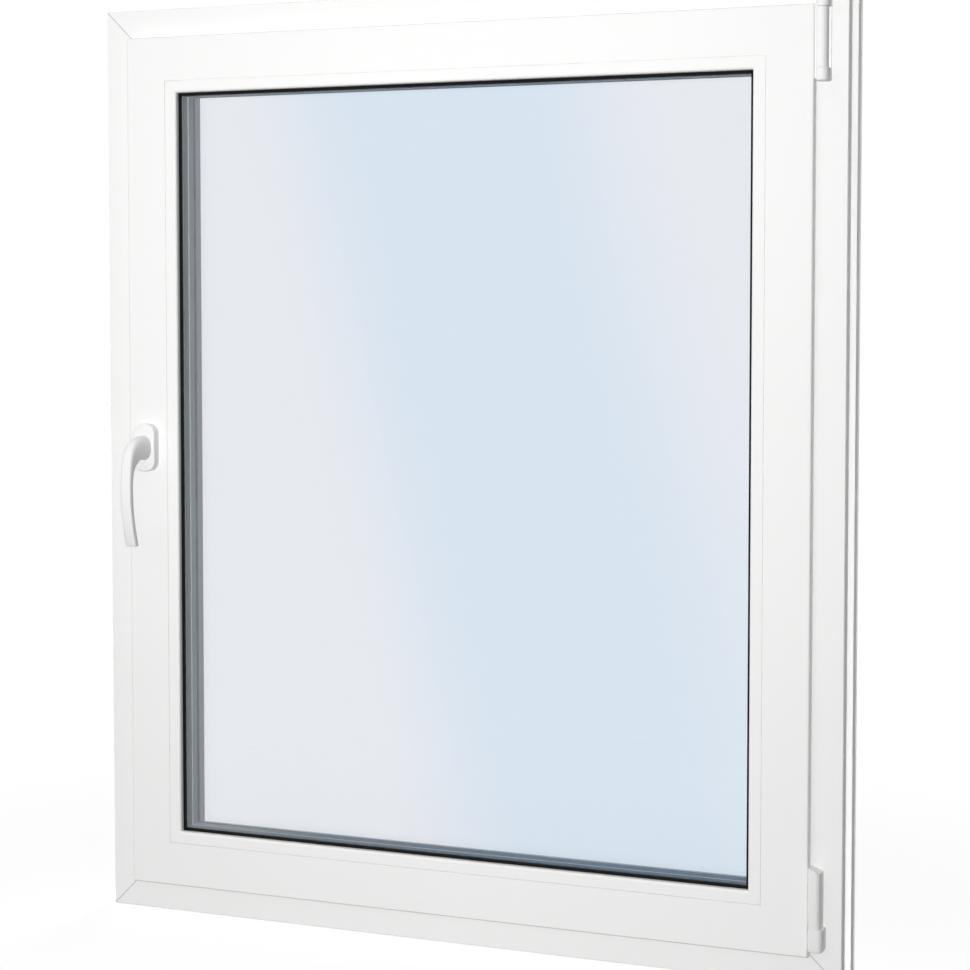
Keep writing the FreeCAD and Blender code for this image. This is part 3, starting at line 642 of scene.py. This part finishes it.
def make_top_bracket(material):
    """Two rounded knuckles joined by a web on the frame."""
    low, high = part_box("hinge_top_bracket")
    sleeve_low, sleeve_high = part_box("hinge_top_sleeve")
    round_front = (high.x - low.x) / 2
    radii = [round_front, round_front, SHARP_EDGE, SHARP_EDGE]
    corners = corners_of(low.x, low.y, high.x, high.y)
    lower = prism_rings(corners, radii, low.z, sleeve_low.z - KNUCKLE_GAP, CAP_EDGE, SHARP_EDGE)
    upper = prism_rings(corners, radii, sleeve_high.z + KNUCKLE_GAP, high.z, SHARP_EDGE, CAP_EDGE)
    web_corners = corners_of(low.x, high.y - WEB_DEPTH, high.x - WEB_SIDE, high.y)
    web = prism_rings(web_corners, [SHARP_EDGE] * 4, low.z + WEB_SHORT, high.z - WEB_SHORT,
                      FAINT_EDGE, FAINT_EDGE)
    leaf = side_leaf(low, high, KNUCKLE_LEAF_SETBACK)
    points, faces = joined(skin(lower), skin(upper), skin(web), skin(leaf))
    link_piece("hinge_top_knuckles", points, faces, material, "window",
               ["hinge_top_bracket"])


def make_bottom_covers(material):
    """Cup of the bottom hinge and the slanted cover above it, with soft moulded rims."""
    low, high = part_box("hinge_bottom_cup")
    radii = [SMALL_CORNER, CUP_CORNER, SHARP_EDGE, SHARP_EDGE]
    rings = prism_rings(corners_of(low.x, low.y, high.x, high.y), radii, low.z,
                        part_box("hinge_bottom_cover")[0].z, CUP_EDGE, SHARP_EDGE)
    points, faces = joined(skin(rings), skin(side_leaf(low, high, CUP_LEAF_SETBACK)))
    link_piece("hinge_bottom_cup_soft", points, faces, material, "window",
               ["hinge_bottom_cup"])
    low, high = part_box("hinge_bottom_cover")
    width = high.x - low.x

    def slanted_top(point):
        return high.z - COVER_FALL * (point.x - low.x) / width

    radii = [SMALL_CORNER, COVER_CORNER, SHARP_EDGE, SHARP_EDGE]
    rings = prism_rings(corners_of(low.x, low.y, high.x, high.y), radii, low.z, slanted_top,
                        SHARP_EDGE, COVER_EDGE)
    points, faces = joined(skin(rings), skin(side_leaf(low, high, COVER_LEAF_SETBACK)))
    link_piece("hinge_bottom_cover_soft", points, faces, material, "window",
               ["hinge_bottom_cover"])


def seam(start, end, out):
    """Low strip of painted shade from start to end on a face of the frame; out is the way the face
    looks, in y.
    """
    start = Vector(start)
    end = Vector(end)
    aside = (end - start).normalized().cross(Vector((0, 1, 0)))
    rings = []
    for place in (start, end):
        ring = []
        for turn in (0, 45, 90, 135, 180):
            angle = math.radians(turn)
            lift = Vector((0, out * SEAM_RISE * math.sin(angle), 0))
            ring.append(place + aside * (SEAM_WIDTH / 2 * math.cos(angle)) + lift)
        rings.append(ring)
    return skin(rings)


def make_weld_seams(material):
    """Painted shade of the welds where the members of the frame meet, as far as they show past the
    sash.
    """
    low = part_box("frame_sill")[0]
    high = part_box("frame_head")[1]
    sash_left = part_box("sash_lock_stile")[0].x
    room_reach = sash_left - low.x
    seams = []
    for face, out, reach in ((low.y, -1, room_reach), (high.y, 1, SEAM_OUTSIDE_REACH)):
        for side in (-1, 1):
            for foot, way in ((low.z, 1), (high.z, -1)):
                start = (side * (high.x - SEAM_INSET), face, foot + way * SEAM_INSET)
                end = (side * (high.x - reach), face, foot + way * reach)
                seams.append(seam(start, end, out))
    points, faces = joined(*seams)
    link_piece("frame_weld_groove_shade", points, faces, material, "window")


def make_finishes():
    """Materials by the name of the node that wears them, or by the first word of it."""
    pvc = extruded_pvc("pvc_white")
    glass = clear_glass()
    black_rubber = rubber("rubber_black", RUBBER_BLACK, 0.45)
    grey_seal = rubber("seal_grey", SEAL_GREY, 0.6)
    sealant = rubber("sealant_grey", SEALANT_GREY, 0.5)
    # Both spacers carry painted reflection, and the outer one is a lighter copy, painted light
    room_spacer = spacer_bar("spacer_room_reflection", ROOM_SPACER_GREY, ROOM_SPACER_MIDDLE,
                             ROOM_SPACER_REFLECTION_BLUE)
    outer_spacer = spacer_bar("spacer_outer_lit_reflection", OUTER_SPACER_LIT_GREY, OUTER_SPACER_LIT_MIDDLE,
                              OUTER_SPACER_LIT_REFLECTION_BLUE)
    # The outer gasket takes the upstand's painted-shade grey
    upstand_shade_rubber = rubber("rubber_upstand_shade", UPSTAND_SHADE_GREY, 0.5)
    steel = bare_metal("steel_plated", STEEL_GREY, 0.3, (1, 1, 0.1))
    casting = painted_casting()
    # Darker copy of the hinge plastic for the bottom covers: painted shade
    cover = moulded_plastic("cover_plastic_shaded", COVER_SHADED_WHITE, roughness=0.36, grain_scale=700.0,
                            grain_depth=0.00006)
    hinge = moulded_plastic("hinge_plastic", HINGE_WHITE, roughness=0.36, grain_scale=700.0,
                            grain_depth=0.00006)
    block = moulded_plastic("block_plastic", BLOCK_BLUE, roughness=0.5, grain_scale=500.0,
                            grain_depth=0.0001)
    # Painted shade for the weld grooves, on low strips
    weld = moulded_plastic("weld_groove_shade", WELD_GROOVE_SHADE, roughness=0.5, grain_scale=500.0,
                           grain_depth=0.0001)
    return {
        "frame": frame_pvc(),
        "sash": sash_pvc(),
        "bead": pvc,
        "pane": glass,
        "edge": sealant,
        "spacer_room": room_spacer,
        "spacer_outside": outer_spacer,
        "gasket_room": black_rubber,
        "gasket_outside": upstand_shade_rubber,
        "setting": block,
        "seal": grey_seal,
        "handle": casting,
        "hinge": cover,
        "hinge_top_sleeve": hinge,
        "lock": steel,
        "weld": weld,
    }


def dress_nodes(finishes):
    """Gives every node of the frame its material."""
    steel_nodes = ("handle_spindle", "hinge_top_pin", "hinge_bottom_pivot")
    for name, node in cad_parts.items():
        kind = "lock" if name in steel_nodes else name
        for slot in node.material_slots:
            slot.material = finishes.get(kind) or finishes[name.split("_")[0]]


def white_background(tree, strength):
    """White of a given strength, for the world."""
    background = tree.nodes.new("ShaderNodeBackground")
    background.inputs["Color"].default_value = (1, 1, 1, 1)
    background.inputs["Strength"].default_value = strength
    return background.outputs["Background"]


def make_world():
    """White to the camera and to what glass and gloss show, a softer grey as light."""
    world = bpy.data.worlds.new("studio")
    bpy.context.scene.world = world
    world.use_nodes = True
    tree = world.node_tree
    tree.nodes.clear()
    mix = tree.nodes.new("ShaderNodeMixShader")
    tree.links.new(seen_directly(tree), mix.inputs["Fac"])
    tree.links.new(white_background(tree, WORLD_LIGHT), mix.inputs[1])
    tree.links.new(white_background(tree, 1.0), mix.inputs[2])
    output = tree.nodes.new("ShaderNodeOutputWorld")
    tree.links.new(mix.outputs["Shader"], output.inputs["Surface"])


def seen_directly(tree):
    """1 for rays from the camera and those that glass or gloss sends on, else 0."""
    path = tree.nodes.new("ShaderNodeLightPath")
    total = path.outputs["Is Camera Ray"]
    for kind in ("Is Glossy Ray", "Is Transmission Ray"):
        total = calculate(tree, "MAXIMUM", total, path.outputs[kind])
    return total


def make_floor():
    """Pale floor: it takes the shadow near the object and reads white further out."""
    bpy.ops.mesh.primitive_plane_add(size=FLOOR_SIZE, location=(0, 0, -FLOOR_DROP))
    floor = bpy.context.object
    floor.name = "floor"
    material = bpy.data.materials.new("floor_pale")
    material.use_nodes = True
    tree = material.node_tree
    tree.nodes.clear()
    matte = tree.nodes.new("ShaderNodeBsdfDiffuse")
    matte.inputs["Color"].default_value = (*FLOOR_PALE, 1)
    near_glow = white_glow(tree, FLOOR_GLOW)
    lit = tree.nodes.new("ShaderNodeAddShader")
    tree.links.new(matte.outputs["BSDF"], lit.inputs[0])
    tree.links.new(near_glow, lit.inputs[1])
    far = tree.nodes.new("ShaderNodeMixShader")
    tree.links.new(far_from_object(tree), far.inputs["Fac"])
    tree.links.new(lit.outputs["Shader"], far.inputs[1])
    tree.links.new(white_glow(tree, 1.0), far.inputs[2])
    output = tree.nodes.new("ShaderNodeOutputMaterial")
    tree.links.new(far.outputs["Shader"], output.inputs["Surface"])
    floor.data.materials.append(material)


def white_glow(tree, strength):
    """White that only the camera, glass and gloss see, so it lights nothing."""
    shown = calculate(tree, "MULTIPLY", seen_directly(tree), strength)
    glow = tree.nodes.new("ShaderNodeEmission")
    glow.inputs["Color"].default_value = (1, 1, 1, 1)
    tree.links.new(shown, glow.inputs["Strength"])
    return glow.outputs["Emission"]


def far_from_object(tree):
    """0 on the floor round the object and 1 well away from it."""
    coordinates = tree.nodes.new("ShaderNodeTexCoord")
    distance = tree.nodes.new("ShaderNodeVectorMath")
    distance.operation = "LENGTH"
    tree.links.new(coordinates.outputs["Object"], distance.inputs[0])
    span = tree.nodes.new("ShaderNodeMapRange")
    span.interpolation_type = "SMOOTHSTEP"
    span.inputs["From Min"].default_value = FLOOR_NEAR
    span.inputs["From Max"].default_value = FLOOR_FAR
    tree.links.new(distance.outputs["Value"], span.inputs["Value"])
    return span.outputs["Result"]


def area_light(name, place, aim, width, height, power):
    """Rectangular lamp that looks from its place to its aim."""
    lamp = bpy.data.lights.new(name, "AREA")
    lamp.shape = "RECTANGLE"
    lamp.size = width
    lamp.size_y = height
    lamp.energy = power
    light = bpy.data.objects.new(name, lamp)
    light.location = place
    way = Vector(aim) - Vector(place)
    light.rotation_mode = "QUATERNION"
    light.rotation_quaternion = way.to_track_quat("-Z", "Y")
    bpy.context.scene.collection.objects.link(light)
    return light


def make_lights():
    """Lamps that light the object and don't show in it or behind it."""
    for name, place, aim, width, height, power, spread in LAMPS:
        light = area_light(name, place, aim, width, height, power)
        light.data.use_shadow = name != SHADOWLESS_LAMP
        if spread:
            light.data.spread = math.radians(spread)
        light.visible_camera = False
        light.visible_glossy = False
        light.visible_transmission = False


def make_camera():
    """Camera at the photograph's angle."""
    camera = bpy.data.cameras.new("camera")
    camera.sensor_width = CAMERA_SENSOR
    camera.lens = CAMERA_LENS
    camera.shift_y = CAMERA_SHIFT
    eye = bpy.data.objects.new("camera", camera)
    azimuth = math.radians(CAMERA_AZIMUTH)
    down = math.radians(CAMERA_DOWN)
    way = Vector((-math.sin(azimuth), math.cos(azimuth), -math.tan(down)))
    eye.location = CAMERA_PLACE
    eye.rotation_mode = "QUATERNION"
    eye.rotation_quaternion = way.to_track_quat("-Z", "Y")
    bpy.context.scene.collection.objects.link(eye)
    bpy.context.scene.camera = eye


bpy.context.scene.view_settings.view_transform = "Standard"
make_camera()
make_world()
make_floor()
make_lights()
finishes = make_finishes()
dress_nodes(finishes)
make_plate(finishes["handle"])
make_lever(finishes["handle"])
make_top_bracket(finishes["hinge_top_sleeve"])
make_bottom_covers(finishes["hinge"])
make_weld_seams(finishes["weld"])
